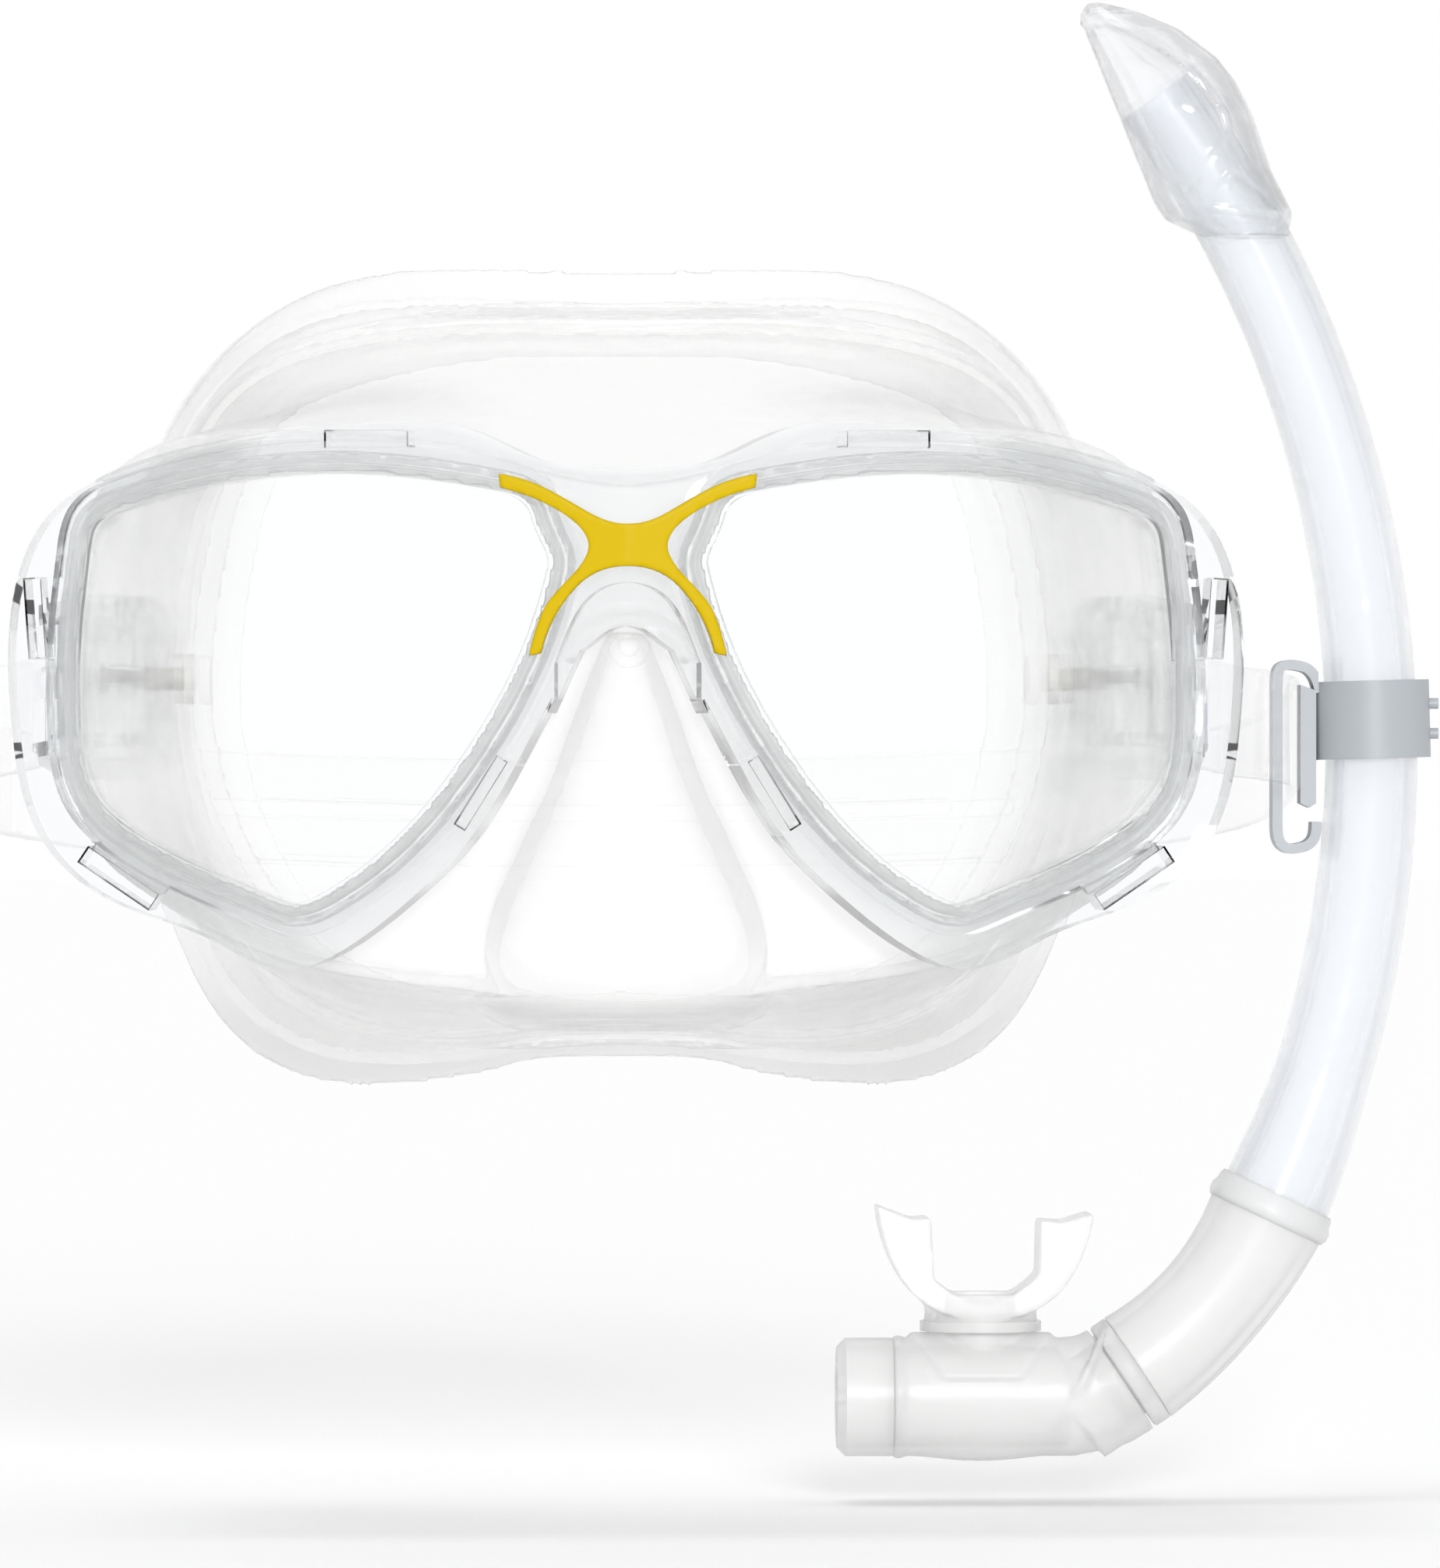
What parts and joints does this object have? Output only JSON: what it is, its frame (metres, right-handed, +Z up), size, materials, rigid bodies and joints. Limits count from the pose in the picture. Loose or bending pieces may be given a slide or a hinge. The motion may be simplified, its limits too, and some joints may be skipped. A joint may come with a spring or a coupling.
{
  "type": "snorkel mask",
  "caption": "Clear twin-lens snorkel mask with silicone skirt, split strap and swivel buckles, carrying a curved snorkel with splash guard, keeper, flex hose and purge mouthpiece.",
  "frame": {"origin": "middle of the face seal: mid width, at the front of the face curve that the seal lies on", "axes": "+X to the right seen from the front, +Y back into the face, +Z up"},
  "size_m": [0.2114, 0.1804, 0.2037],
  "materials": {
    "clear_plastic": "clear polycarbonate, polished",
    "lens_glass": "tempered glass, polished",
    "clear_silicone": "clear silicone, satin",
    "yellow_plastic": "gloss moulded",
    "grey_plastic": "satin moulded",
    "tube_plastic": "clear tube, polished",
    "spring_steel": "bright spring wire"
  },
  "bodies": {
    "mask": {"frame": "clear_plastic", "bridge_trim": "yellow_plastic", "lens_left": "lens_glass", "lens_right": "lens_glass", "retainer_left": "clear_plastic", "retainer_right": "clear_plastic", "skirt": "clear_silicone", "strap_post_left": "grey_plastic", "strap_post_right": "grey_plastic"},
    "strap": {"strap": "clear_silicone", "buckle_left": "clear_plastic", "buckle_right": "clear_plastic", "lever_pin_left": "spring_steel", "lever_pin_right": "spring_steel", "lever_spring_left": "spring_steel", "lever_spring_right": "spring_steel"},
    "roller_left": {"strap_roller_left": "clear_plastic"},
    "roller_right": {"strap_roller_right": "clear_plastic"},
    "lever_left": {"release_lever_left": "clear_plastic"},
    "lever_right": {"release_lever_right": "clear_plastic"},
    "keeper": {"keeper_ring": "grey_plastic", "keeper_hook": "grey_plastic"},
    "tube": {"tube": "tube_plastic", "splash_guard": "tube_plastic", "hose_collar": "clear_silicone", "flex_hose": "clear_silicone"},
    "cuff": {"hose_cuff": "tube_plastic"},
    "chamber": {"mouth_chamber": "tube_plastic", "end_cap": "tube_plastic", "valve_seat": "tube_plastic", "mouthpiece": "clear_silicone", "mouthpiece_tie": "clear_plastic"},
    "flap": {"purge_flap": "clear_silicone"}
  },
  "joints": [
    {"name": "strap_swing", "type": "hinge", "parent": "mask", "child": "strap", "pos_m": [0, -0.008, -0.0003], "axis": [1, 0, 0], "range_deg": [-20, 60]},
    {"name": "roller_left_spin", "type": "hinge", "parent": "strap", "child": "roller_left", "pos_m": [-0.0715, 0.0128, -0.00322], "axis": [0, 0.1392, 0.9903], "continuous": true},
    {"name": "roller_right_spin", "type": "hinge", "parent": "strap", "child": "roller_right", "pos_m": [0.0715, 0.0128, -0.00322], "axis": [0, 0.1392, 0.9903], "continuous": true},
    {"name": "lever_left_lift", "type": "hinge", "parent": "strap", "child": "lever_left", "pos_m": [-0.076, -0.00206, -0.00113], "axis": [0, 0.1392, 0.9903], "range_deg": [0, 35], "stiffness_Nm_per_rad": 0.02, "springref_deg": -17.19},
    {"name": "lever_right_lift", "type": "hinge", "parent": "strap", "child": "lever_right", "pos_m": [0.076, -0.00206, -0.00113], "axis": [0, -0.1392, -0.9903], "range_deg": [0, 35], "stiffness_Nm_per_rad": 0.02, "springref_deg": -17.19},
    {"name": "keeper_slide", "type": "slide", "parent": "strap", "child": "keeper", "axis": [0, 0.9903, -0.1392], "range_m": [-0.005, 0.005]},
    {"name": "snorkel_turn", "type": "hinge", "parent": "keeper", "child": "tube", "pos_m": [0.10625, 0.05, -0.00547], "axis": [-0.0262, 0, 0.9997], "range_deg": [-45, 75]},
    {"name": "hose_bend", "type": "hinge", "parent": "tube", "child": "cuff", "pos_m": [0.08393, 0.05, -0.08698], "axis": [0, 1, 0], "range_deg": [-15, 15], "stiffness_Nm_per_rad": 0.3, "deforming": ["flex_hose"]},
    {"name": "mouthpiece_swivel", "type": "hinge", "parent": "cuff", "child": "chamber", "pos_m": [0.07349, 0.05, -0.09625], "axis": [-0.83, 0, -0.5577], "range_deg": [-90, 90]},
    {"name": "purge_flap_lift", "type": "slide", "parent": "chamber", "child": "flap", "axis": [-1, 0, 0], "range_m": [0, 0.0015], "stiffness_N_per_m": 40, "springref_m": -0.0002}
  ]
}
